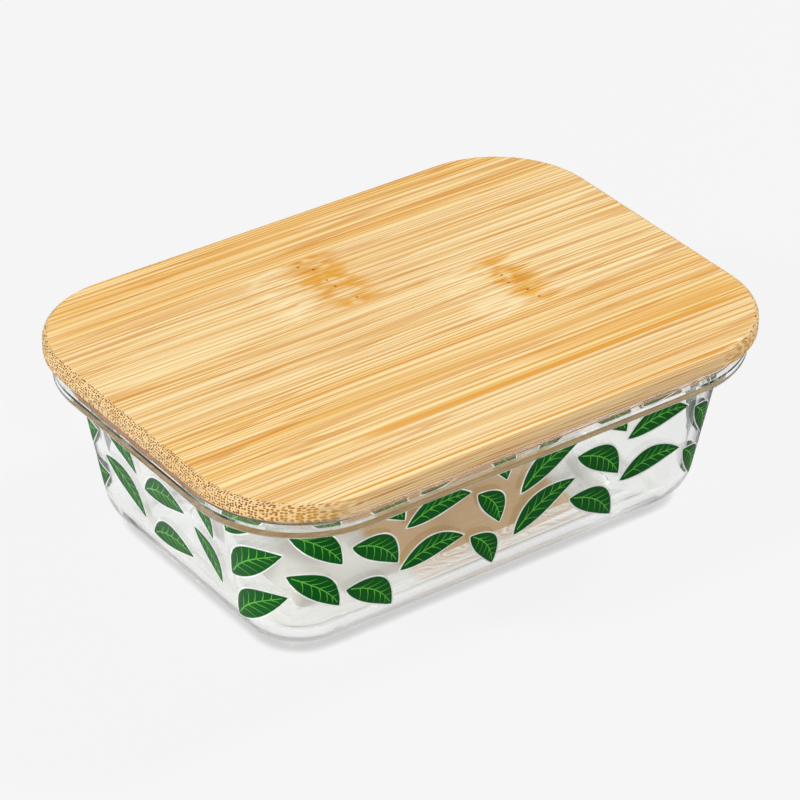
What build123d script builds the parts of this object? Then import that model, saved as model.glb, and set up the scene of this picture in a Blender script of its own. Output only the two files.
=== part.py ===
from build123d import *
import os
from math import radians, tan

# A rectangular food storage container: a pressed glass dish with a bamboo lid.
# Sizes are millimetres and degrees. +Z is up and the long side lies along X.
# The origin is the middle of the underside, at the height of the table.

# The rim of the dish, a collar that stands out from the body on a shelf.
rim_length = 206.6
rim_width = 147.4
rim_corner = 37.9
rim_height = 64.6
rim_bevel = 1.0
collar_height = 7.6
collar_wall = 3.2
collar_foot_bevel = 1.1
shelf_thickness = 2.6
shelf_edge_bevel = 1.2
ledge_depth = 7.45

# The body of the dish, whose walls lean out from the base to the collar.
wall_draft = 10.4
base_round = 16.4
glass_wall = 3.3
base_thickness = 4.4

# The foot, a flat ring on which the base stands, round a shallow panel.
foot_width = 9.0
foot_depth = 0.6
panel_corner = 9.0

# The lid's board, which lies over the rim.
lid_overhang = 1.65
lid_corner = 36.1
board_thickness = 6.6
board_top_round = 2.0
board_bottom_bevel = 1.1
rim_gap = 0.3

# The plug under the board, which drops inside the collar.
plug_gap = 2.0
plug_floor_gap = 0.5
plug_bevel = 0.5
groove_height = 2.0
groove_depth = 1.8
groove_rise = 0.7

# The silicone ring in the groove round the plug, and its two lips.
seal_fit = 0.08
seal_face = 0.4
lip_thickness = 0.5
lip_clearance = 0.3

# The glued bamboo staves of the lid, which run along its length.
stave_width = 33.6
stave_shift = -1.6
board_staves = 5
plug_staves = 4

# Heights that follow from the sizes above.
ledge_z = rim_height - collar_height
shelf_z = ledge_z + shelf_thickness
plug_z = shelf_z + plug_floor_gap
board_z = rim_height + rim_gap
lid_top_z = board_z + board_thickness
groove_z = plug_z + groove_rise

# How near two places count as one, and how far a cut reaches past what it cuts.
same_place = 0.01
cut_margin = 2.0


def moved_in(outline, inset):
    """An outline moved in by a distance, with its corners still concentric."""
    length, width, corner = outline
    return (length - 2 * inset, width - 2 * inset, corner - inset)


# Outlines that follow from the sizes above, each as length, width and corner radius.
rim = (rim_length, rim_width, rim_corner)
body_top = moved_in(rim, ledge_depth)
collar_bore = moved_in(rim, collar_wall)
plug = moved_in(collar_bore, plug_gap)
board = (rim_length + 2 * lid_overhang, rim_width + 2 * lid_overhang, lid_corner)


def wall_at(height, inset):
    """The body's outline at a height, moved in from the outer face of its leaning wall."""
    lean = (ledge_z - height) * tan(radians(wall_draft))
    return moved_in(body_top, lean + inset)


def block(outline, bottom, top):
    """An upright block with round corners, from one height to another."""
    return extrude(Pos(0, 0, bottom) * RectangleRounded(*outline), amount=top - bottom)


def leaning_block(bottom, top, inset):
    """A block with the lean of the body's walls, moved in from their outer face."""
    floor = Pos(0, 0, bottom) * RectangleRounded(*wall_at(bottom, inset))
    return extrude(floor, amount=top - bottom, taper=-wall_draft)


def loop_at(solid, height, outline):
    """The edges of a solid that make up one level outline."""
    length, width, corner = outline
    loop = ShapeList()
    for edge in solid.edges():
        box = edge.bounding_box()
        level = max(abs(box.min.Z - height), abs(box.max.Z - height))
        from_end = abs(max(-box.min.X, box.max.X) - length / 2)
        from_side = abs(max(-box.min.Y, box.max.Y) - width / 2)
        if level < same_place and min(from_end, from_side) < same_place:
            loop.append(edge)
    return loop


def rounded(solid, height, outline, radius):
    """The solid with the edges of one level outline rounded."""
    return fillet(loop_at(solid, height, outline), radius)


def bevelled(solid, height, outline, width):
    """The solid with the edges of one level outline bevelled."""
    return chamfer(loop_at(solid, height, outline), width)


def make_panel():
    """The shallow hollow inside the flat foot ring, as a block to cut out of the base."""
    flat_start = base_round * tan(radians(90 - wall_draft) / 2)
    length, width, _ = wall_at(0, flat_start + foot_width)
    return block((length, width, panel_corner), -cut_margin, foot_depth)


def make_dish():
    """The pressed glass dish: a round-bottomed body, a shelf and an upright collar."""
    body = rounded(leaning_block(0, ledge_z, 0), 0, wall_at(0, 0), base_round)
    dish = body + block(rim, ledge_z, rim_height)
    dish = bevelled(dish, ledge_z, rim, collar_foot_bevel)
    floor = wall_at(base_thickness, glass_wall)
    cavity = leaning_block(base_thickness, shelf_z + cut_margin, glass_wall)
    dish -= rounded(cavity, base_thickness, floor, base_round - base_thickness)
    dish -= block(collar_bore, shelf_z, rim_height + cut_margin)
    dish = bevelled(dish, shelf_z, wall_at(shelf_z, glass_wall), shelf_edge_bevel)
    dish = bevelled(dish, rim_height, rim, rim_bevel)
    dish = bevelled(dish, rim_height, collar_bore, rim_bevel)
    return dish - make_panel()


def staves(slab, name, count):
    """The staves that a slab is glued from, cut along its length and named from the front."""
    box = slab.bounding_box()
    joints = [stave_shift + stave_width * (place - count / 2) for place in range(1, count)]
    sides = [box.min.Y - cut_margin, *joints, box.max.Y + cut_margin]
    cut = {}
    for number, (front, back) in enumerate(zip(sides, sides[1:]), 1):
        slice_box = Box(box.size.X + 2 * cut_margin, back - front, box.size.Z + 2 * cut_margin)
        cut[f"{name}_{number}"] = slab & Pos(0, (front + back) / 2, box.center().Z) * slice_box
    return cut


def make_board():
    """The board over the rim, with its top edge rounded and its lower one bevelled."""
    slab = block(board, board_z, lid_top_z)
    slab = rounded(slab, lid_top_z, board, board_top_round)
    return bevelled(slab, board_z, board, board_bottom_bevel)


def make_plug():
    """The plug under the board, with the groove that holds the seal."""
    slab = block(plug, plug_z, board_z)
    slab = bevelled(slab, plug_z, plug, plug_bevel)
    ring = block(plug, groove_z, groove_z + groove_height)
    ring -= block(moved_in(plug, groove_depth), groove_z, groove_z + groove_height)
    return slab - ring


def make_seal():
    """The silicone ring: a strip in the groove and two thin lips towards the collar."""
    low = groove_z + seal_fit
    high = groove_z + groove_height - seal_fit
    strip = block(moved_in(plug, -seal_face), low, high)
    reach = moved_in(collar_bore, lip_clearance)
    lips = block(reach, low, low + lip_thickness) + block(reach, high - lip_thickness, high)
    hole = block(moved_in(plug, groove_depth - seal_fit), low - cut_margin, high + cut_margin)
    return strip + lips - hole


parts = {"glass_dish": make_dish(), "seal_ring": make_seal()}
parts |= staves(make_board(), "board_stave", board_staves)
parts |= staves(make_plug(), "plug_stave", plug_staves)

os.makedirs("parts", exist_ok=True)
for name, solid in parts.items():
    export_step(solid, f"parts/{name}.step")
    box = solid.bounding_box()
    print(f"{name}: {box.size.X:.2f} x {box.size.Y:.2f} x {box.size.Z:.2f} mm")
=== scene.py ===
# %% [markdown]
# # A glass food container with a bamboo lid
#
# The container is a pressed glass dish with a green print, closed by a bamboo lid that has a
# silicone seal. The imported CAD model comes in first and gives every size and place. Blender
# then makes the pieces smooth enough for glass, and gives each one its finish.

# %% Load the frame
from math import cos, pi, radians, sin, tan

import bmesh
import bpy
from mathutils import Euler, Matrix, Vector


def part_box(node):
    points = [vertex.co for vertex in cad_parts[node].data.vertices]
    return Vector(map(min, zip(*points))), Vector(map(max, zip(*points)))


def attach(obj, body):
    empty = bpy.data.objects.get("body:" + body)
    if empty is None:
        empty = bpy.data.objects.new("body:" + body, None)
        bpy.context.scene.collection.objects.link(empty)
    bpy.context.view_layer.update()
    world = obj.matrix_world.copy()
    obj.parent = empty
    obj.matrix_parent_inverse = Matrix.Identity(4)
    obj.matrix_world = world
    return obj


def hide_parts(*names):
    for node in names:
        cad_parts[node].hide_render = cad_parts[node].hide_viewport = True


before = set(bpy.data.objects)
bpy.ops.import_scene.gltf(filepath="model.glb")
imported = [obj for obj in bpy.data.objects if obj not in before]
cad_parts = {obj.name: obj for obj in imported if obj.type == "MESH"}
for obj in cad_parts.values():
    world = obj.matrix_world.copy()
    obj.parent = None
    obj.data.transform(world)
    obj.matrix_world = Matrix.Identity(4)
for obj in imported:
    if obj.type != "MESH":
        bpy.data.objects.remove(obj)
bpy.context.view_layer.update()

MM = 0.001

# %% [markdown]
# ## Tools for modelling
#
# Most of the pieces are rounded rectangles that step in and up, like the dish. On the real dish
# the corners of every level have the same centre. Blender's Inset keeps just that, so a piece
# starts as one flat face with round corners, and each inset adds the next level of its profile.

# %% Start and finish a piece
def select_nothing():
    """Leave edit mode, with no piece selected."""
    if bpy.context.mode != "OBJECT":
        bpy.ops.object.mode_set(mode="OBJECT")
    bpy.ops.object.select_all(action="DESELECT")


def only(piece):
    """Leave edit mode and select one piece alone."""
    select_nothing()
    piece.select_set(True)
    bpy.context.view_layer.objects.active = piece


def plate(name, length, width, corner, height, corner_steps=24):
    """A flat face with round corners, left in edit mode with the face selected."""
    select_nothing()
    bpy.ops.mesh.primitive_plane_add(size=1, location=(0, 0, height))
    piece = bpy.context.object
    piece.name = name
    piece.scale = (length, width, 1)
    bpy.ops.object.transform_apply(location=True, rotation=False, scale=True)
    bpy.ops.object.mode_set(mode="EDIT")
    bpy.ops.mesh.select_all(action="SELECT")
    bpy.ops.mesh.bevel(offset=corner, segments=corner_steps, affect="VERTICES")
    return piece


def select_faces(piece, wanted):
    """In edit mode, select the faces whose centre and normal pass a test."""
    bpy.ops.mesh.select_mode(type="FACE")
    mesh = bmesh.from_edit_mesh(piece.data)
    for face in mesh.faces:
        face.select_set(wanted(face.calc_center_median(), face.normal))
    mesh.select_flush_mode()
    bmesh.update_edit_mesh(piece.data)


def modify(piece, kind, **settings):
    """Add a modifier to the active piece, with its settings, and apply it."""
    bpy.ops.object.modifier_add(type=kind)
    modifier = piece.modifiers[-1]
    for name, setting in settings.items():
        setattr(modifier, name, setting)
    bpy.ops.object.modifier_apply(modifier=modifier.name)


def smooth(piece, angle=40):
    """Shade a piece smooth, with its flat faces kept flat by weighted normals."""
    only(piece)
    bpy.ops.object.shade_smooth_by_angle(angle=radians(angle))
    modify(piece, "WEIGHTED_NORMAL", keep_sharp=True)


# %% Profiles of insets and heights
def arc(before, corner, after, radius, steps):
    """The points of the arc that rounds one corner of a line."""
    back, ahead = (before - corner).normalized(), (after - corner).normalized()
    half = back.angle(ahead) / 2
    centre = corner + (back + ahead).normalized() * radius / sin(half)
    start = (corner + back * radius / tan(half) - centre).normalized()
    end = (corner + ahead * radius / tan(half) - centre).normalized()
    return [centre + start.slerp(end, step / steps) * radius for step in range(steps + 1)]


def profile(*corners):
    """A line of (inset, height) points from corners given as (inset, height, radius, steps)."""
    at = [Vector(corner[:2]) for corner in corners]
    line = [at[0]]
    for place in range(1, len(at) - 1):
        line += arc(at[place - 1], at[place], at[place + 1], *corners[place][2:])
    return line + [at[-1]]


def follow(line, facing):
    """Inset the selected face from point to point of a profile; facing is 1 up or -1 down."""
    for here, there in zip(line, line[1:]):
        step = there - here
        bpy.ops.mesh.inset(thickness=max(step.x, 0), depth=facing * step.y)


same_height = 0.01


def pressed(name, length, width, corner, over, under):
    """A closed piece from one outline, with a profile over its top and one round its underside."""
    start = over[0].y
    piece = plate(name, length, width, corner, start)
    follow(over, 1)
    bpy.ops.mesh.select_all(action="DESELECT")
    bpy.ops.mesh.select_mode(type="EDGE")
    bpy.ops.mesh.select_non_manifold()
    bpy.ops.mesh.edge_face_add()
    select_faces(piece, lambda at, normal: abs(at.z - start) < same_height and normal.z < -0.5)
    follow(under, -1)
    return piece


def to_metres(piece):
    """Turn a mesh modelled in millimetres into metres, with its object left at the origin."""
    only(piece)
    piece.scale = (MM, MM, MM)
    bpy.ops.object.transform_apply(location=True, rotation=True, scale=True)


rounded_step = profile((0, 0), (0, 5, 2, 2), (9, 5))
print("a rounded step:", [tuple(round(part, 2) for part in point) for point in rounded_step])

# %% [markdown]
# ## The camera
#
# The camera was found by fitting the outlines of the lid, the rim and the body: its direction,
# its distance and its lens. The photo is tilted by a little under one degree, so the camera is
# rolled by the same amount.

# %% Camera
view_azimuth = -36.41
view_elevation = 32.57
view_roll = 0.78
view_distance = 1.2
view_aim = Vector((-25.34, -33.38, 66.85)) * MM
focal_pixels = 3849.4
frame_pixels = 800

turn = Euler((radians(90 - view_elevation), 0, radians(view_azimuth))).to_matrix()
turn = turn @ Matrix.Rotation(radians(view_roll), 3, "Z")
lens = bpy.data.cameras.new("camera")
lens.sensor_width = 36
lens.lens = lens.sensor_width * focal_pixels / frame_pixels
camera = bpy.data.objects.new("camera", lens)
camera.rotation_euler = turn.to_euler()
camera.location = view_aim + turn @ Vector((0, 0, view_distance))
bpy.context.collection.objects.link(camera)
bpy.context.scene.camera = camera
print("lens", round(lens.lens, 1), "mm, camera at", [round(v, 3) for v in camera.location])

# %% [markdown]
# ## Finishes
#
# A finish is a node tree. To read its maths like a formula, one small class wraps a socket, so
# that a sum or product of values adds its Math nodes. Every other node comes from one method.

# %% A socket that can be added and multiplied
class Value:
    """A number that varies over a surface: a socket, with the sums that can be done on it."""

    def __init__(self, finish, socket):
        self.finish = finish
        self.socket = socket

    def math(self, operation, *values):
        sockets = dict(enumerate(values))
        return self.finish.node("ShaderNodeMath", {"operation": operation}, sockets)

    def __add__(self, other):
        return self.math("ADD", self, other)

    __radd__ = __add__

    def __sub__(self, other):
        return self.math("SUBTRACT", self, other)

    def __rsub__(self, other):
        return self.math("SUBTRACT", other, self)

    def __mul__(self, other):
        return self.math("MULTIPLY", self, other)

    __rmul__ = __mul__

    def __truediv__(self, other):
        return self.math("DIVIDE", self, other)

    def __abs__(self):
        return self.math("ABSOLUTE", self)

    def __pow__(self, other):
        return self.math("POWER", self, other)

    def sine(self):
        """The sine of this value."""
        return self.math("SINE", self)

    def larger(self, other):
        """The larger of this value and another."""
        return self.math("MAXIMUM", self, other)

    def clamped(self):
        """This value kept between 0 and 1."""
        return self.rise(0, 1, "LINEAR")

    def rise(self, low, high, shape="SMOOTHSTEP"):
        """0 below low and 1 above high, with a soft step between."""
        sockets = {"Value": self, "From Min": low, "From Max": high}
        return self.finish.node("ShaderNodeMapRange", {"interpolation_type": shape}, sockets)

    def fall(self, low, high):
        """1 below low and 0 above high, with a soft step between."""
        return 1 - self.rise(low, high)


# %% The node tree of one finish
class Finish:
    """A material and the methods that add its nodes."""

    def __init__(self, name):
        self.material = bpy.data.materials.new(name)
        self.material.use_nodes = True
        self.tree = self.material.node_tree
        self.tree.nodes.clear()

    def node(self, kind, settings=None, sockets=None, output=0):
        """Add a node, with its settings first and then the values or links of its sockets."""
        made = self.tree.nodes.new(kind)
        for name, setting in (settings or {}).items():
            if name == "stops":
                self.set_stops(made.color_ramp, setting)
            else:
                setattr(made, name, setting)
        for name, value in (sockets or {}).items():
            if isinstance(value, Value):
                self.tree.links.new(value.socket, made.inputs[name])
            else:
                made.inputs[name].default_value = value
        return Value(self, made.outputs[output]) if made.outputs else made

    def set_stops(self, ramp, stops):
        """Give a colour ramp its stops, as (position, colour)."""
        while len(ramp.elements) < len(stops):
            ramp.elements.new(1)
        for element, (position, colour) in zip(ramp.elements, stops):
            element.position = position
            element.color = colour

    def object_mm(self):
        """The object's own coordinates in millimetres, as three values."""
        place = self.node("ShaderNodeTexCoord", output="Object")
        return self.parts(place, 1 / MM)

    def facing(self):
        """The direction that the surface faces, as three values."""
        return self.parts(self.node("ShaderNodeTexCoord", output="Normal"))

    def parts(self, vector, scale=1):
        """The three parts of a vector, each times a scale."""
        split = self.node("ShaderNodeSeparateXYZ", sockets={0: vector})
        return [Value(self, output) * scale for output in split.socket.node.outputs]

    def vector(self, x, y, z):
        """A vector from three values."""
        return self.node("ShaderNodeCombineXYZ", sockets={0: x, 1: y, 2: z})

    def noise(self, vector, detail=0.0):
        """Smooth noise from 0 to 1, one wave or so for each unit of the vector."""
        sockets = {"Vector": vector, "Scale": 1.0, "Detail": detail}
        return self.node("ShaderNodeTexNoise", sockets=sockets)

    def cells(self, vector, scatter):
        """The distance to the nearest of many points, one for each unit, in rows or scattered."""
        sockets = {"Vector": vector, "Scale": 1.0, "Randomness": scatter}
        return self.node("ShaderNodeTexVoronoi", sockets=sockets, output="Distance")

    def mix(self, share, first, second, blend="MIX"):
        """Two colours mixed by a share."""
        settings = {"data_type": "RGBA", "blend_type": blend}
        return self.node("ShaderNodeMix", settings, {0: share, 6: first, 7: second}, output=2)

    def bump(self, height):
        """A normal from a height in millimetres."""
        return self.node("ShaderNodeBump", sockets={"Height": height, "Distance": MM})

    def ray(self, kind):
        """1 for rays of one kind, such as those that come from the camera, and 0 for others."""
        return self.node("ShaderNodeLightPath", output=f"Is {kind} Ray")

    def let_lamps_through(self, shader, tint):
        """A shader that the lamps shine through, tinted, where they would see a solid."""
        clear = self.node("ShaderNodeBsdfTransparent", sockets={"Color": tint})
        mixed = {0: self.ray("Shadow"), 1: shader, 2: clear}
        return self.node("ShaderNodeMixShader", sockets=mixed)

    def surface(self, shader):
        """Make a shader the material's surface."""
        self.node("ShaderNodeOutputMaterial", sockets={"Surface": shader})
        return self.material


def tone(red, green, blue):
    """A colour from screen values of 0 to 255, as the linear numbers that Blender mixes."""
    parts = [value / 255 for value in (red, green, blue)]
    linear = [p / 12.92 if p <= 0.04045 else ((p + 0.055) / 1.055) ** 2.4 for p in parts]
    return (*linear, 1)


print("mid bamboo:", [round(v, 3) for v in tone(240, 204, 144)])

# %% [markdown]
# ## The glass dish
#
# The dish is one piece of pressed glass. Its body has a round bottom and leaning walls, and the
# rim is a collar that stands out from the body on a shelf, where the lid's plug sits. Glass bends
# light by its normals, so it needs finer arcs than the CAD mesh. The new dish follows the
# same sizes: one profile goes from the outside of the collar over the rim and down the inside to
# the floor, and a second one goes down the outside to the foot. Like most pressed glass, its
# wall is thinner under the rim than at the floor. The frame's boxes give the length, the width
# and the height. Thicknesses and corner radii are those of the CAD model, which no box tells.

# %% Sizes of the dish, in millimetres
dish_low, dish_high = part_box("glass_dish")
rim_length, rim_width = (dish_high[0] - dish_low[0]) / MM, (dish_high[1] - dish_low[1]) / MM
rim_height = dish_high[2] / MM
rim_corner = 37.9
collar_wall = 3.2
collar_height = 7.6
shelf_thickness = 2.6
ledge_depth = 7.45
wall_draft = 10.4
glass_wall = 3.3
base_thickness = 4.4
base_round = 16.4
foot_width = 9.0
foot_depth = 0.6
wall_at_rim = 2.05
foot_start = 1.5

ledge_z = rim_height - collar_height
shelf_z = ledge_z + shelf_thickness
lean = tan(radians(wall_draft))
inner_top = ledge_depth + wall_at_rim
inner_floor = ledge_depth + glass_wall + (ledge_z - base_thickness) * lean
outer_foot = ledge_depth + ledge_z * lean
print("dish", round(rim_length, 1), "x", round(rim_width, 1), "x", round(rim_height, 1), "mm")

# %% Model the dish
half_way = ledge_z + collar_height / 2
floor_middle = inner_floor + base_round
foot_flat = outer_foot + base_round * tan(radians(90 - wall_draft) / 2) + foot_start
over_the_rim = profile(
    (0, half_way),
    (0, rim_height, 1.3, 6),
    (collar_wall, rim_height, 1.1, 6),
    (collar_wall, shelf_z, 0.3, 4),
    (inner_top, shelf_z, 0.5, 5),
    (inner_floor, base_thickness, base_round - base_thickness, 18),
    (floor_middle, base_thickness),
)
down_the_outside = profile(
    (0, half_way),
    (0, ledge_z, 1.4, 6),
    (ledge_depth, ledge_z, 0.4, 4),
    (outer_foot, 0, base_round, 18),
    (foot_flat, 0),
)
dish = pressed("dish_glass", rim_length, rim_width, rim_corner, over_the_rim, down_the_outside)

# %% Sink the panel inside the foot ring
def panel_step(length_share, width_share, rise):
    """Shrink the last level's face to a share of its size, and raise it."""
    bpy.ops.mesh.inset(thickness=0, depth=-rise)
    bpy.ops.transform.resize(value=(length_share, width_share, 1), center_override=(0, 0, 0))


foot_length, foot_breadth = rim_length - 2 * foot_flat, rim_width - 2 * foot_flat
ring_left = 2 * (foot_width - foot_start)
panel_edge = (0.995, 0.99, foot_depth / 2)
panel_step(1 - ring_left / foot_length, 1 - ring_left / foot_breadth, 0)
panel_step(*panel_edge)
panel_step(*panel_edge)
panel_step(0.9, 0.9, 0)
to_metres(dish)
smooth(dish)
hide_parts("glass_dish")
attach(dish, "dish")
print("dish faces:", len(dish.data.polygons), "box:", [round(v, 4) for v in dish.dimensions])

# %% [markdown]
# ## Clear glass
#
# Clear soda-lime glass bends light by an index of 1.5 and has a faint green cast. Lamps would
# see it as solid and leave a dark shadow, so their rays pass through a tinted Transparent
# shader instead. Pressed glass is never quite flat, so a slow, shallow bump bends the views
# through the walls a little, as in the real dish. The foot ring and the curve above it are
# stippled and a little frosted, as on many pressed dishes. The flat panel inside the ring stays
# clear.

# %% Finish the glass
def clear_glass():
    """Slightly wavy glass with a stippled foot, which lets the lamps through."""
    finish = Finish("clear_glass")
    x, y, z = finish.object_mm()
    waves = finish.noise(finish.vector(x / 18, y / 18, z / 14), detail=1.0)
    stipple = finish.noise(finish.vector(x / 0.7, y / 0.7, z / 0.7))
    *_, facing_z = finish.facing()
    curved = abs(facing_z).fall(0.97, 0.998)
    foot_ring = z.fall(0.2, 0.4)
    stippled = curved.larger(foot_ring)
    near_foot = z.fall(0.2, 2.5) * stippled
    frosted = z.fall(0.5, 6) * stippled * 0.15
    glass = finish.node(
        "ShaderNodeBsdfPrincipled",
        sockets={
            "Base Color": tone(254, 255, 254),
            "Roughness": frosted,
            "IOR": 1.5,
            "Transmission Weight": 1.0,
            "Normal": finish.bump(waves * 0.02 + stipple * near_foot * 0.035),
        },
    )
    return finish.surface(finish.let_lamps_through(glass, tone(250, 252, 251)))


dish.data.materials.append(clear_glass())
print("glass nodes:", len(dish.data.materials[0].node_tree.nodes))

# %% [markdown]
# ## The printed leaves
#
# The print on the outside is baked enamel, so thin that it has no visible edge. One leaf is
# modelled flat: a grid whose columns are squeezed into a pointed oval and then bent, with
# lighter ribs on it and a slightly larger white backing under it, which leaves a thin outline.
# Copies of it are laid against the wall in a half-drop pattern, and Shrinkwrap presses them on,
# round the corners too. It presses each point on to whatever is nearest, which near the rim
# would be the ledge. So the leaves are wrapped on a plain guide wall that runs on past the rim,
# and cut off level below the ledge.

# %% Model one leaf
leaf_length = 23.0
leaf_width = 9.4
leaf_bend = 2.8
rib_width = 0.5
outline_width = 0.6
paint_thickness = 0.03
least_share = 0.02


def bent(at):
    """How far the leaf's middle line is bent aside, at a place from -0.5 to 0.5 along it."""
    return leaf_bend * (0.25 - at * at) * 4 - leaf_bend / 2


def leaf_half_width(at):
    """Half the leaf's width at a place from -0.5 to 0.5 along it."""
    return leaf_width / 2 * cos(pi * at) ** 0.8 * (1 - 0.35 * at)


def strip(name, columns, rows, length, width):
    """A flat grid in edit mode, with its length along X."""
    select_nothing()
    bpy.ops.mesh.primitive_grid_add(x_subdivisions=columns, y_subdivisions=rows, size=1)
    piece = bpy.context.object
    piece.name = name
    piece.scale = (length, width, 1)
    bpy.ops.object.transform_apply(location=True, rotation=True, scale=True)
    bpy.ops.object.mode_set(mode="EDIT")
    return piece


def shape_columns(piece, columns, length, share_at, shift_at):
    """Squeeze the columns of a strip to a share and shift them, one after the other.

    The share and the shift are functions of the place along the strip, from -0.5 to 0.5. A share
    never falls below least_share, so that no two points meet.
    """
    for column in range(columns + 1):
        at = column / columns - 0.5
        bpy.ops.mesh.select_mode(type="VERT")
        mesh = bmesh.from_edit_mesh(piece.data)
        for vertex in mesh.verts:
            vertex.select_set(abs(vertex.co.x - at * length) < length / columns / 4)
        mesh.select_flush_mode()
        share = max(share_at(at), least_share)
        bpy.ops.transform.resize(value=(1, share, 1), center_override=(at * length, 0, 0))
        bpy.ops.transform.translate(value=(0, shift_at(at), 0))


def leaf_share(at):
    """The leaf's width at a place along it, as a share of its greatest width."""
    return leaf_half_width(at) * 2 / leaf_width


leaf_columns = 28
blade = strip("leaf_blade", leaf_columns, 8, leaf_length, leaf_width)
shape_columns(blade, leaf_columns, leaf_length, leaf_share, bent)

backing_length, backing_width = leaf_length + 2.2 * outline_width, leaf_width + 2 * outline_width
backing = strip("leaf_backing", leaf_columns, 8, backing_length, backing_width)
shape_columns(backing, leaf_columns, backing_length, leaf_share, bent)
print("leaf:", leaf_length, "x", leaf_width, "mm, backing:", round(backing_length, 2), "mm long")

# %% Model the ribs of a leaf
rib_reach = 0.86
side_rib_columns = 8
side_rib_angle = 48
side_rib_places = (-0.27, -0.13, 0.01, 0.15, 0.28)


def midrib_share(at):
    """The midrib's width, which halves towards the tip."""
    return 1 - 0.5 * (at + 0.5)


def midrib_shift(at):
    """How far the midrib is bent aside, to lie on the leaf's middle line."""
    return bent(at * rib_reach)


def side_rib_share(at):
    """A side rib's width, which shrinks towards the leaf's edge."""
    return 0.9 - 0.7 * (at + 0.5)


def side_rib_shift(at):
    """How far a side rib curves towards the tip."""
    return 1.2 * at * at


def side_rib(place, side):
    """A rib from the middle line, at a place from -0.5 to 0.5 along it, out to one side."""
    reach = leaf_half_width(place + 0.06) * rib_reach
    rib = strip("leaf_rib", side_rib_columns, 1, reach * 1.3, rib_width * 0.7)
    shape_columns(rib, side_rib_columns, reach * 1.3, side_rib_share, side_rib_shift)
    only(rib)
    rib.rotation_euler.z = side * radians(side_rib_angle)
    if side < 0:
        rib.scale.y = -1
    rib.location.x = place * leaf_length + reach * 0.45
    rib.location.y = bent(place) + side * reach * 0.5
    bpy.ops.object.transform_apply(location=True, rotation=True, scale=True)
    return rib


midrib = strip("leaf_rib", leaf_columns, 2, leaf_length * rib_reach, rib_width)
shape_columns(midrib, leaf_columns, leaf_length * rib_reach, midrib_share, midrib_shift)
side_ribs = [side_rib(place, side) for place in side_rib_places for side in (-1, 1)]
only(midrib)
for rib in side_ribs:
    rib.select_set(True)
bpy.ops.object.join()
bpy.ops.object.mode_set(mode="EDIT")
bpy.ops.mesh.select_all(action="SELECT")
bpy.ops.mesh.normals_make_consistent(inside=False)
bpy.ops.object.mode_set(mode="OBJECT")
print("leaf faces:", len(blade.data.polygons), "rib faces:", len(midrib.data.polygons))

# %% [markdown]
# The leaves stand in columns: six along each long side, three along each short side and two
# round each corner. Every other column starts half a row lower, so the leaves lie in each
# other's gaps. The places are worked out for half of the dish, and the other half is the same
# one turned right round.

# %% Find places on the wall
straight_length = rim_length - 2 * rim_corner
straight_width = rim_width - 2 * rim_corner
long_side, short_side, corner_turn = "long", "short", "corner"
wall_run = (
    [(long_side, at / 6 + 1 / 12) for at in range(6)]
    + [(corner_turn, 0.25), (corner_turn, 0.75)]
    + [(short_side, at / 3 + 1 / 6) for at in range(3)]
    + [(corner_turn, 1.25), (corner_turn, 1.75)]
)


def wall_frame(kind, at, down):
    """The place, outward direction and direction along the wall, down from the collar in mm."""
    height = ledge_z - down * cos(radians(wall_draft))
    radius = rim_corner - ledge_depth - down * sin(radians(wall_draft))
    if kind == long_side:
        angle, along = -90, (at - 0.5) * straight_length
        centre = Vector((along, -straight_width / 2, height))
    elif kind == short_side:
        angle, along = 0, (at - 0.5) * straight_width
        centre = Vector((straight_length / 2, along, height))
    else:
        corner, share = int(at), at % 1
        angle = -90 + 90 * share + 90 * corner
        centre = Vector((straight_length / 2, (corner * 2 - 1) * straight_width / 2, height))
    out = Vector((cos(radians(angle)), sin(radians(angle)), 0))
    place = centre + out * radius
    outward = (out - Vector((0, 0, lean))).normalized()
    return place, outward, Vector((-sin(radians(angle)), cos(radians(angle)), 0))


print("a place on the front wall:", [round(v, 1) for v in wall_frame(long_side, 0.5, 20)[0]])

# %% Lay the leaves out
row_gap = 18.0
first_row = 1.5
top_row = -0.14
top_row_size = 0.85
leaf_turns = ((-38, 1.05), (10, 1.05), (-56, 0.85), (34, 1.15))
lift_off = 1.2


def lay(piece, place, outward, along, spin, size):
    """Copy a flat piece and lay it in front of the wall, turned in the wall's plane and scaled."""
    only(piece)
    bpy.ops.object.duplicate()
    copy = bpy.context.object
    frame_of_wall = Matrix((along, outward.cross(along), outward)).transposed()
    turned = frame_of_wall @ Matrix.Rotation(radians(spin), 3, "Z") * size
    copy.matrix_world = Matrix.Translation(place + outward * lift_off) @ turned.to_4x4()
    bpy.ops.object.transform_apply(location=True, rotation=True, scale=True)
    return copy


backings, blades, rib_sets = [], [], []
for half_turn in (0, 1):
    for column, (kind, at) in enumerate(wall_run):
        rows = (0, 1, 2) if column % 2 == half_turn else (top_row, 0.5, 1.5)
        for row in rows:
            spin, size = leaf_turns[column % len(leaf_turns)]
            if row == top_row:
                size = top_row_size
            place, outward, along = wall_frame(kind, at, first_row + row * row_gap)
            turn_back = Matrix.Rotation(pi * half_turn, 3, "Z")
            spot = [turn_back @ part for part in (place, outward, along)]
            backings.append(lay(backing, *spot, spin, size))
            blades.append(lay(blade, *spot, spin, size))
            rib_sets.append(lay(midrib, *spot, spin, size))
print("leaves:", len(blades))

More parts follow.
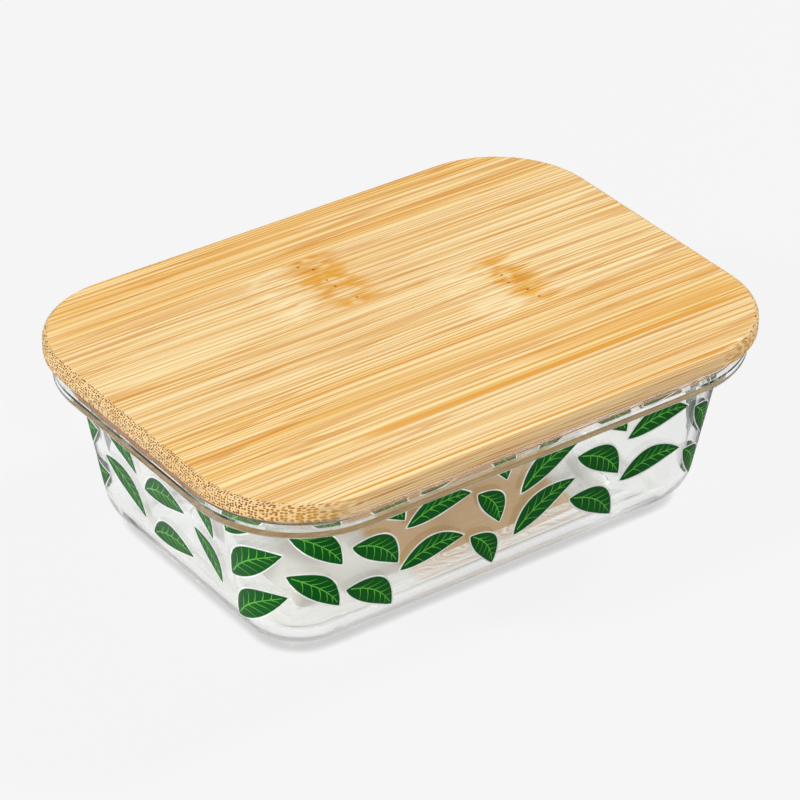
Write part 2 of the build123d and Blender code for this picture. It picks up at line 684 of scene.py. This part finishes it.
# %% Model the guide wall
guide_rise = 15.0
guide_inset = ledge_depth - guide_rise * lean
guide = plate(
    "wall_guide",
    rim_length - 2 * guide_inset,
    rim_width - 2 * guide_inset,
    rim_corner - guide_inset,
    ledge_z + guide_rise,
)
guide_line = profile(
    (0, ledge_z + guide_rise),
    (outer_foot - guide_inset, 0, base_round, 18),
    (foot_flat - guide_inset, 0),
)
follow(guide_line, 1)
bpy.ops.mesh.select_all(action="SELECT")
bpy.ops.mesh.flip_normals()
to_metres(guide)
print("guide wall:", [round(v, 4) for v in guide.dimensions])

# %% Press the leaves on to the glass
print_top = ledge_z - 0.6


def press_on(pieces, name, height):
    """Join flat pieces, wrap them on the guide, cut them off below the ledge, thicken them."""
    only(pieces[0])
    for piece in pieces:
        piece.select_set(True)
    bpy.ops.object.join()
    joined = bpy.context.object
    joined.name = name
    to_metres(joined)
    modify(joined, "SHRINKWRAP", target=guide, wrap_mode="ABOVE_SURFACE", offset=height * MM)
    bpy.ops.object.mode_set(mode="EDIT")
    bpy.ops.mesh.select_all(action="SELECT")
    bpy.ops.mesh.bisect(plane_co=(0, 0, print_top * MM), plane_no=(0, 0, 1), clear_outer=True)
    bpy.ops.object.mode_set(mode="OBJECT")
    modify(joined, "SOLIDIFY", thickness=paint_thickness * MM, offset=-1)
    bpy.ops.object.shade_smooth_by_angle(angle=radians(40))
    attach(joined, "dish")
    return joined


backing_print = press_on(backings, "print_backing", paint_thickness)
leaf_print = press_on(blades, "print_leaves", paint_thickness * 2)
rib_print = press_on(rib_sets, "print_ribs", paint_thickness * 3)
for helper in (backing, blade, midrib, guide):
    bpy.data.objects.remove(helper)
print("print faces:", [len(part.data.polygons) for part in (backing_print, leaf_print, rib_print)])

# %% [markdown]
# The white backing lies between the leaf and the glass, so from inside the dish the leaves would
# look white. On the real dish they look green from there too, so the side that faces the glass
# gets a green of its own.

# %% Finish the print
def enamel(name, colour, from_inside=None):
    """Glossy baked enamel, a little uneven, which may have another tone towards the glass."""
    finish = Finish(name)
    x, y, z = finish.object_mm()
    cloud = finish.noise(finish.vector(x / 5, y / 5, z / 5), detail=2.0)
    deeper = tuple(part * 0.82 for part in colour[:3]) + (1,)
    body = finish.mix(cloud.rise(0.3, 0.7), deeper, colour)
    if from_inside:
        facing_x, facing_y, _ = finish.facing()
        inward = (facing_x * x + facing_y * y).fall(-1, 1)
        body = finish.mix(inward, body, from_inside)
    grain = finish.noise(finish.vector(x / 0.5, y / 0.5, z / 0.5), detail=1.0)
    sockets = {
        "Base Color": body,
        "Roughness": 0.2 + grain * 0.1,
        "IOR": 1.2,
        "Normal": finish.bump(grain * 0.01),
    }
    return finish.surface(finish.node("ShaderNodeBsdfPrincipled", sockets=sockets))


backing_print.data.materials.append(enamel("backing_white", tone(250, 251, 248), tone(20, 96, 42)))
leaf_print.data.materials.append(enamel("leaf_green", tone(2, 90, 22)))
rib_print.data.materials.append(enamel("rib_green", tone(104, 196, 70)))

# %% [markdown]
# ## The lid's board
#
# The board is five wide bamboo staves glued edge to edge, with a soft round along the top edge
# and a smaller one below. It is pressed in one piece like the dish, and the glue joints then cut
# it into its staves, because each stave has its own colour and grain.

# %% Sizes of the board, in millimetres
board_nodes = ["board_stave_1", "board_stave_2", "board_stave_3", "board_stave_4", "board_stave_5"]
board_boxes = [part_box(node) for node in board_nodes]
board_length = (board_boxes[2][1][0] - board_boxes[2][0][0]) / MM
board_width = (board_boxes[-1][1][1] - board_boxes[0][0][1]) / MM
board_z, lid_top_z = board_boxes[0][0][2] / MM, board_boxes[0][1][2] / MM
lid_corner = 36.1
print("board", round(board_length, 1), "x", round(board_width, 1), "mm")

# %% Model the board
board_side = (board_z + lid_top_z) / 2
top_round = 2.0
bottom_round = 1.4
flat_inset = 12
board = pressed(
    "board",
    board_length,
    board_width,
    lid_corner,
    profile((0, board_side), (0, lid_top_z, top_round, 8), (flat_inset, lid_top_z)),
    profile((0, board_side), (0, board_z, bottom_round, 6), (flat_inset, board_z)),
)
to_metres(board)


def cut(piece, front, back):
    """Keep what lies between two planes across the width, with the cuts closed."""
    only(piece)
    bpy.ops.object.mode_set(mode="EDIT")
    for place, drop_front in ((front, True), (back, False)):
        bpy.ops.mesh.select_all(action="SELECT")
        bpy.ops.mesh.bisect(
            plane_co=(0, place, 0),
            plane_no=(0, 1, 0),
            use_fill=True,
            clear_inner=drop_front,
            clear_outer=not drop_front,
        )
    bpy.ops.object.mode_set(mode="OBJECT")


def cut_staves(piece, nodes):
    """Cut a piece into staves at the joints of the CAD nodes that they replace."""
    joints = [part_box(node)[1][1] for node in nodes[:-1]]
    edges = [-1.0, *joints, 1.0]
    made = []
    for node, front, back in zip(nodes, edges, edges[1:]):
        only(piece)
        bpy.ops.object.duplicate()
        stave = bpy.context.object
        stave.name = node.replace("stave", "strip")
        cut(stave, front, back)
        smooth(stave)
        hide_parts(node)
        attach(stave, "lid")
        made.append(stave)
        print(stave.name, [round(v, 4) for v in stave.dimensions])
    bpy.data.objects.remove(piece)
    return made


staves = cut_staves(board, board_nodes)

# %% [markdown]
# ## The plug
#
# Bamboo hardly swells along its grain, so the plug reaches almost to the glass at its two ends,
# where its end shows through the collar in a dark brown that is painted shade under the board.
# Along the sides it keeps a wide gap, which the seal closes. It sits a hair lower than in the
# CAD, so that it shows as a full line.

# %% Model the plug
plug_nodes = ["plug_stave_1", "plug_stave_2", "plug_stave_3", "plug_stave_4"]
plug_low, plug_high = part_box(plug_nodes[0])[0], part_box(plug_nodes[-1])[1]
end_gap = 0.12
plug_drop = 0.14
plug_length = rim_length - 2 * (collar_wall + end_gap)
plug_width = (plug_high[1] - plug_low[1]) / MM
plug_corner = 38.0
plug_z, plug_top = plug_low[2] / MM - plug_drop, plug_high[2] / MM
plug_side = (plug_z + plug_top) / 2
plug = pressed(
    "plug",
    plug_length,
    plug_width,
    plug_corner,
    profile((0, plug_side), (0, plug_top, 0.1, 1), (flat_inset, plug_top)),
    profile((0, plug_side), (0, plug_z, 0.4, 3), (flat_inset, plug_z)),
)
to_metres(plug)
plug_staves = cut_staves(plug, plug_nodes)

# %% [markdown]
# ## Bamboo
#
# Bamboo has no rings. It is pale tissue with long fibre bundles all the way along, which show
# as fine lines on the faces and as dots on the cut ends. So the pattern is solid: a field of
# bundles stretched along the length. Every face cuts through the same field.

# %% Tones of the bamboo
fibre_brown = tone(104, 50, 4)
fibre_orange = tone(202, 144, 56)
node_brown = tone(204, 126, 20)
node_orange = tone(230, 164, 40)
bud_brown = tone(96, 48, 8)
line_orange = tone(212, 142, 40)
line_pale = tone(255, 236, 190)
streak_orange = tone(226, 152, 24)
# A warm tan multiplied over the long sides, as painted shade.
side_shade_tan = tone(244, 190, 116)
side_brown = tone(196, 128, 48)
print("lines on the bamboo:", [round(part, 2) for part in line_orange])

# %% [markdown]
# The finish is built up in layers, each painted over the last one by a share. First comes the
# grain in three tones with its fine lines, then the streaks and the growth joint that only some
# staves have, then the dots of the cut ends, and last the long sides, where the layers of the
# bamboo show as sharper lines under painted shade that darkens and warms the sides towards their
# lower edge.

# %% The layers of the bamboo
class Bamboo(Finish):
    """Bamboo with its grain along X. The seed moves the grain, so that every stave differs."""

    def __init__(self, name, seed):
        super().__init__(name)
        self.x, self.y, self.z = self.object_mm()
        self.shift = seed * 31.7
        sway_place = self.vector(self.x / 60, self.y / 25, self.z / 25 + self.shift)
        sway = self.noise(sway_place, detail=1.0) - 0.5
        self.grain_y = self.y + sway * 1.2
        self.bands = self.drawn_out(220, 1.7, 3)
        self.hairs = self.drawn_out(160, 0.38, 7)
        self.facing_x, self.facing_y, _ = self.facing()
        self.end_grain = abs(self.facing_x).rise(0.06, 0.3)

    def drawn_out(self, length, width, offset=0, detail=0.0):
        """Noise that is drawn out along the grain."""
        across = self.z / width + self.shift + offset
        return self.noise(self.vector(self.x / length, self.grain_y / width, across), detail)

    def line(self, length, width, offset, low, high):
        """Fine lines along the grain, where noise that is drawn out crosses its middle value."""
        return abs(self.drawn_out(length, width, offset) - 0.5).fall(low, high)

    def grain(self, deep, middle, pale):
        """The wood in three tones, with warm, pale and dark lines along it."""
        broad = self.drawn_out(260, 9, detail=1.0)
        depth = broad - 0.5 + (self.bands - 0.5) * 0.1 + (self.hairs - 0.5) * 2.1 + 0.42
        stops = [(0.0, pale), (0.5, middle), (1.0, deep)]
        wood = self.node("ShaderNodeValToRGB", {"stops": stops}, {"Fac": depth})
        patches = self.drawn_out(90, 4, 11).rise(0.3, 0.7)
        warm_line = self.line(260, 0.85, 13, 0.02, 0.12)
        wood = self.mix(warm_line * (patches * 0.2 + 0.3), wood, line_orange)
        pale_line = self.line(220, 0.95, 17, 0.02, 0.11)
        wood = self.mix(pale_line * 0.6, wood, line_pale)
        comb = ((self.grain_y + self.z) * 3.3 + (self.drawn_out(240, 5, 31) - 0.5) * 12).sine()
        teeth = comb.rise(0.4, 0.95) * self.drawn_out(130, 1.9, 37).rise(0.3, 0.6)
        wood = self.mix(teeth * 0.6, wood, line_orange)
        gaps = (comb * -1).rise(0.5, 0.95) * self.drawn_out(130, 1.9, 41).rise(0.35, 0.65)
        wood = self.mix(gaps * 0.5, wood, line_pale)
        dark_line = self.line(120, 2.3, 29, 0.01, 0.06)
        return self.mix(dark_line * 0.5, wood, node_brown)

    def streak(self, wood, at, half, start, end, strength):
        """A warm streak at a place across the width, ragged along its sides and faded out."""
        along = self.x.rise(start, start + 20) * self.x.fall(end - 20, end)
        ragged = abs(self.grain_y - at + (self.bands - 0.5) * half * 2).fall(half * 0.2, half)
        share = along * ragged * (self.hairs * 0.8 + 0.6) * strength
        return self.mix(share, wood, streak_orange)

    def growth_joint(self, wood, at, half, buds):
        """A growth joint across the stave: warm patches, brown threads and small dark buds."""
        wisps = self.drawn_out(16, 1.2, 19, detail=1.0) - 0.5
        clumps = self.noise(self.vector(self.x / 9, self.y / 5, self.shift), detail=1.0)
        from_joint = self.x - at
        near = (abs(from_joint) + wisps * 26).fall(0, half * 2.0)
        wood = self.mix(near * clumps.rise(0.3, 0.55) * 0.9, wood, node_orange)
        thread = self.line(60, 0.8, 23, 0.02, 0.12)
        wood = self.mix(near * thread * clumps.rise(0.36, 0.56) * 0.8, wood, node_brown)
        pale_side = abs(from_joint + half * 2.6).fall(3, 14)
        wood = self.mix(pale_side * wisps.rise(-0.02, 0.1) * 0.6, wood, line_pale)
        for bud_x, bud_y in buds:
            from_bud = (((self.x - bud_x) / 1.3) ** 2 + (self.y - bud_y) ** 2) ** 0.5
            wood = self.mix(from_bud.fall(0.15, 0.55), wood, bud_brown)
        return wood

    def cut_ends(self, wood, ground, ground_share):
        """The fibre bundles where the surface cuts them: dots, and dashes where it slants."""
        level = (self.facing_x * self.facing_x + self.facing_y * self.facing_y) ** 0.5
        round_edge = (1 - level) * 2.0
        across = (self.z + round_edge) / 0.95 + self.shift
        bundles = self.cells(self.vector(self.x / 160, self.grain_y / 0.95, across), scatter=0.55)
        aslant = abs(self.facing_y).rise(0.4, 0.95)
        fibre = self.mix(aslant, fibre_brown, fibre_orange)
        cut_ground = self.mix(ground_share, wood, ground)
        dotted = self.mix((bundles - aslant * 0.09).fall(0.27, 0.43), cut_ground, fibre)
        return self.mix(self.end_grain, wood, dotted)

    def long_sides(self, wood):
        """Brown and pale lines on the long sides, under painted shade that is darkest along the
        lower edge.
        """
        long_side = abs(self.facing_y).rise(0.5, 0.95) * (1 - self.end_grain)
        side_line = self.line(170, 0.8, 53, 0.015, 0.08)
        wood = self.mix(long_side * side_line * 0.9, wood, side_brown)
        side_gap = self.line(170, 0.9, 59, 0.01, 0.1)
        wood = self.mix(long_side * side_gap * 0.6, wood, line_pale)
        # Painted shade: the long sides are darker and warmer, most towards the lower edge.
        low_edge_shade = self.z.fall(65.2, 66.4) * 0.65 + 0.15
        return self.mix(long_side * low_edge_shade, wood, self.mix(0.8, wood, side_shade_tan, "MULTIPLY"))


# %% Finish the bamboo
def bamboo(name, seed, tones, ground, ground_share=0.7, joint=None, streaks=()):
    """Bamboo in three tones, deep, middle and pale, with a ground tone on its cut ends.

    A joint is a growth joint, given as (x, half its width, the places of its buds).
    A streak is a warm line, given as (y, half its width, start, end, strength).
    """
    finish = Bamboo(name, seed)
    wood = finish.grain(*tones)
    for streak in streaks:
        wood = finish.streak(wood, *streak)
    if joint:
        wood = finish.growth_joint(wood, *joint)
    wood = finish.cut_ends(wood, ground, ground_share)
    wood = finish.long_sides(wood)
    shader = finish.node(
        "ShaderNodeBsdfPrincipled",
        sockets={
            "Base Color": wood,
            "Roughness": 0.5,
            "Specular IOR Level": 0.18,
            "Normal": finish.bump(finish.hairs * 0.015),
        },
    )
    return finish.surface(shader)


# %% Give each stave its own look
golden_tones = (tone(222, 158, 60), tone(240, 197, 116), tone(250, 219, 150))
light_tones = (tone(226, 170, 84), tone(240, 206, 140), tone(252, 229, 174))
golden = dict(tones=golden_tones, ground=tone(232, 198, 142))
light = dict(tones=light_tones, ground=tone(234, 202, 148))
# The plug's cut ends get a dark brown ground: painted shade under the board's overhang.
painted_shade_plug = dict(tones=golden_tones, ground=tone(130, 74, 10), ground_share=0.96)
front_buds = ((42, 3), (41, -2), (43.5, -9), (44, -14.5))
back_buds = ((-9.7, 45), (-6.4, 41), (-6.6, 33), (-6.5, 28.3), (-4.8, 18.7))
looks = [
    dict(seed=1, **light, streaks=[(-73.3, 0.8, -84, 82, 1.0)]),
    dict(seed=2, **golden, streaks=[(-50.5, 1.6, -60, 104, 0.75), (-44, 3.5, 10, 110, 0.4)]),
    dict(seed=3, **light, joint=(43.5, 5, front_buds)),
    dict(seed=4, **light, joint=(-5, 7, back_buds), streaks=[(45, 2, -110, -20, 0.3)]),
    dict(seed=5, **golden, streaks=[(66, 4.0, -100, 20, 0.3), (54, 3.0, -105, 60, 0.3)]),
]
for stave, look in zip(staves, looks):
    stave.data.materials.clear()
    stave.data.materials.append(bamboo("bamboo_" + stave.name, **look))
plug_wood = bamboo("bamboo_plug", seed=9, **painted_shade_plug)
for stave in plug_staves:
    stave.data.materials.clear()
    stave.data.materials.append(plug_wood)
print("bamboo finishes:", len(looks) + 1)

# %% [markdown]
# ## The silicone seal
#
# The seal is a ring of clear silicone in a groove round the plug. Its two thin lips bend against
# the glass, and the wood of the plug shows through it.

# %% Model the seal
seal_low, seal_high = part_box("seal_ring")
seal_corner = 34.4
seal_width = 3.42
seal_edge = 0.14
lip_thickness = 0.5
lip_reach = 1.3
middle_band = (seal_high[2] - seal_low[2]) / MM - 2 * lip_thickness
seal = plate(
    "seal_lips",
    (seal_high[0] - seal_low[0]) / MM,
    (seal_high[1] - seal_low[1]) / MM,
    seal_corner,
    seal_low[2] / MM,
)
bpy.ops.mesh.inset(thickness=seal_width, depth=0)
bpy.ops.mesh.delete(type="FACE")
bpy.ops.mesh.select_all(action="SELECT")
for rise in (lip_thickness, middle_band, lip_thickness):
    bpy.ops.mesh.extrude_region_move(TRANSFORM_OT_translate={"value": (0, 0, rise)})
bpy.ops.mesh.select_all(action="SELECT")
bpy.ops.mesh.normals_make_consistent(inside=False)
band_middle = (seal_low[2] + seal_high[2]) / 2 / MM
select_faces(seal, lambda at, normal: abs(at.z - band_middle) < 0.05 and at.xy.dot(normal.xy) > 0)
bpy.ops.mesh.extrude_region_shrink_fatten(TRANSFORM_OT_shrink_fatten={"value": -lip_reach})
to_metres(seal)
sharp = radians(50)
modify(seal, "BEVEL", width=seal_edge * MM, segments=2, limit_method="ANGLE", angle_limit=sharp)
smooth(seal, 60)
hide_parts("seal_ring")
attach(seal, "lid")
print("seal faces:", len(seal.data.polygons), "box:", [round(v, 4) for v in seal.dimensions])


# %% Finish the seal
def silicone():
    """Clear silicone, which lets the lamps through."""
    finish = Finish("silicone")
    x, y, z = finish.object_mm()
    cloud = finish.noise(finish.vector(x / 3, y / 3, z / 1.5), detail=1.0)
    clear = finish.node(
        "ShaderNodeBsdfPrincipled",
        sockets={
            "Base Color": tone(254, 251, 246),
            "Roughness": cloud * 0.05,
            "IOR": 1.41,
            "Transmission Weight": 1.0,
        },
    )
    return finish.surface(finish.let_lamps_through(clear, tone(240, 236, 228)))


seal.data.materials.append(silicone())

# %% [markdown]
# ## The floor and the light
#
# The photo was taken on a pale sweep with soft light from all round, so the glass shows no
# sharp lamps and the shadow is short and faint. A white floor under plain lamps would either
# look grey or throw too much light up. So it glows for the rays that come straight, mirrored or
# bent from the camera, and only reflects the lamps for all the others.

# %% Model the floor
select_nothing()
bpy.ops.mesh.primitive_circle_add(vertices=96, radius=12, fill_type="NGON", location=(0, 0, 0))
floor = bpy.context.object
floor.name = "floor"
print("floor:", [round(v, 1) for v in floor.dimensions], "m")

# %% [markdown]
# The floor's tone changes with the place. It is darker under the dish, as painted shade, and a
# strip in the middle, which no lamp reaches, has a painted warm tone that stands for the light
# that the bamboo throws down.

# %% Places on the floor
paper = Finish("paper")
x, y, z = paper.object_mm()


def past(half_length, half_width, middle_x=0):
    """How far a place on the floor lies outside a rectangle, in millimetres."""
    return (abs(x - middle_x) - half_length).larger(abs(y) - half_width)


far = ((x * x + y * y) ** 0.5).rise(140, 400)
under = past(74, 44).fall(-2, 3)
unlit = past(34.5, 41, 11.5).fall(-2, 2)
beside = past(86, 56).fall(0, 14)
# Painted shade: the floor's tone is darker under the dish, and warm and dark in the strip that no
# lamp reaches.
floor_tone_with_painted_shade = paper.mix(under, tone(236, 236, 236), tone(212, 212, 212))
floor_tone_with_painted_shade = paper.mix(unlit, floor_tone_with_painted_shade, tone(188, 170, 140))
lit = paper.node(
    "ShaderNodeBsdfPrincipled",
    sockets={"Base Color": floor_tone_with_painted_shade, "Roughness": 0.9, "Specular IOR Level": 0.1},
)
print("floor nodes so far:", len(paper.tree.nodes))

# %% [markdown]
# What the glass mirrors and what it bends look different in the photo. Mirrored, the floor is
# dim, apart from a patch at the left, the strip beside the foot and what lies far away. Bent, it
# is nearly as pale as the floor itself. Blender counts a ray that was bent as mirrored too, so
# the bent ones are taken off. Where the foot touches the floor, Ambient Occlusion keeps a thin
# line of shadow.

# %% The floor as the camera sees it
straight = paper.ray("Camera")
bent_ray = paper.ray("Transmission")
seen_mirrored = paper.ray("Glossy") * (1 - bent_ray)
seen_bent = bent_ray * (far + (1 - far) * (0.85 - under * 0.5))
glow_share = straight * 0.95 + seen_mirrored + seen_bent
openness = paper.node(
    "ShaderNodeAmbientOcclusion",
    {"samples": 16},
    {"Color": (1, 1, 1, 1), "Distance": 0.004},
    output="AO",
)
contact = openness.fall(0.3, 0.9) * straight * 0.5
# The glow carries painted shade: a thin painted shadow where the foot touches, a darker tone under
# the dish, and a painted warm tone in the unlit strip.
pale_floor = paper.mix(contact, tone(246, 246, 246), tone(150, 150, 150))
pale_floor = paper.mix(under, pale_floor, tone(228, 228, 224))
pale_floor = paper.mix(unlit, pale_floor, tone(240, 190, 128))
# Painted reflection: in what the glass mirrors, the near floor is painted dim, and a pool of light
# at the left and the strip beside the foot are painted bright.
painted_light_pool = x.rise(-140, -120) * x.fall(-100, -84)
bright_side = painted_light_pool.larger(far).larger(beside * 0.7)
mirrored_floor = paper.mix(bright_side, tone(140, 140, 140), tone(250, 250, 250))
pale_floor = paper.mix(seen_mirrored, pale_floor, mirrored_floor)
glow = paper.node("ShaderNodeEmission", sockets={"Color": pale_floor, "Strength": 1.0})
paper_top = paper.node("ShaderNodeMixShader", sockets={0: glow_share, 1: lit, 2: glow})
print("floor nodes:", len(paper.tree.nodes))

# %% [markdown]
# Seen from beneath, the floor is clear, so that the underside of the dish can be looked at.

# %% Make the floor one-sided
from_beneath = paper.node("ShaderNodeNewGeometry", output="Backfacing")
nothing = paper.node("ShaderNodeBsdfTransparent")
one_sided = {0: from_beneath, 1: paper_top, 2: nothing}
floor.data.materials.append(paper.surface(paper.node("ShaderNodeMixShader", sockets=one_sided)))
print("floor finish:", paper.material.name)

# %% [markdown]
# The world glows in the same way: bright where it is seen straight, mirrored or through glass,
# and dim as a light. Three soft lamps do the rest, the strongest one from the left.

# %% The sky
sky_light = 0.16
sky_seen = 0.95


class Sky(Finish):
    """The node tree of the world, made with the same tools."""

    def __init__(self):
        self.world = bpy.data.worlds.new("sky")
        self.world.use_nodes = True
        self.tree = self.world.node_tree
        self.tree.nodes.clear()


sky = Sky()
bpy.context.scene.world = sky.world
in_view = (sky.ray("Camera") + sky.ray("Glossy") + sky.ray("Transmission")).clamped()
backdrop = in_view * (sky_seen - sky_light) + sky_light
shine = sky.node("ShaderNodeBackground", sockets={"Color": (1, 1, 1, 1), "Strength": backdrop})
sky.node("ShaderNodeOutputWorld", sockets={"Surface": shine})
print("sky nodes:", len(sky.tree.nodes))

# %% Lamps
lamp_size = 0.12
lamp_aim = Vector((0, 0, 0.03))


def soft_box(name, azimuth, elevation, distance, power):
    """A square area lamp that faces the dish."""
    lamp = bpy.data.lights.new(name, "AREA")
    lamp.size = lamp_size
    lamp.energy = power
    box = bpy.data.objects.new(name, lamp)
    turn = Euler((radians(90 - elevation), 0, radians(azimuth))).to_matrix()
    box.rotation_euler = turn.to_euler()
    box.location = lamp_aim + turn @ Vector((0, 0, distance))
    bpy.context.collection.objects.link(box)
    return box


lamps = [
    soft_box("left_box", -95, 36, 1.3, 11.3),
    soft_box("right_box", 85, 45, 1.3, 8.8),
    soft_box("front_box", -15, 22, 1.5, 5.2),
]
bpy.context.scene.view_settings.view_transform = "Standard"
print("lamps:", [lamp.name for lamp in lamps])

# %% [markdown]
# Light that enters the thick rim is mirrored inside the glass many times before it comes out.
# Cycles gives up after twelve turns and leaves the glass dark there, so it gets more.

# %% Let the light go further in the glass
turns_in_glass = 40
turns_on_gloss = 24
paths = bpy.context.scene.cycles
paths.max_bounces = turns_in_glass
paths.transmission_bounces = turns_in_glass
paths.glossy_bounces = turns_on_gloss
print("turns of light in the glass:", paths.transmission_bounces)
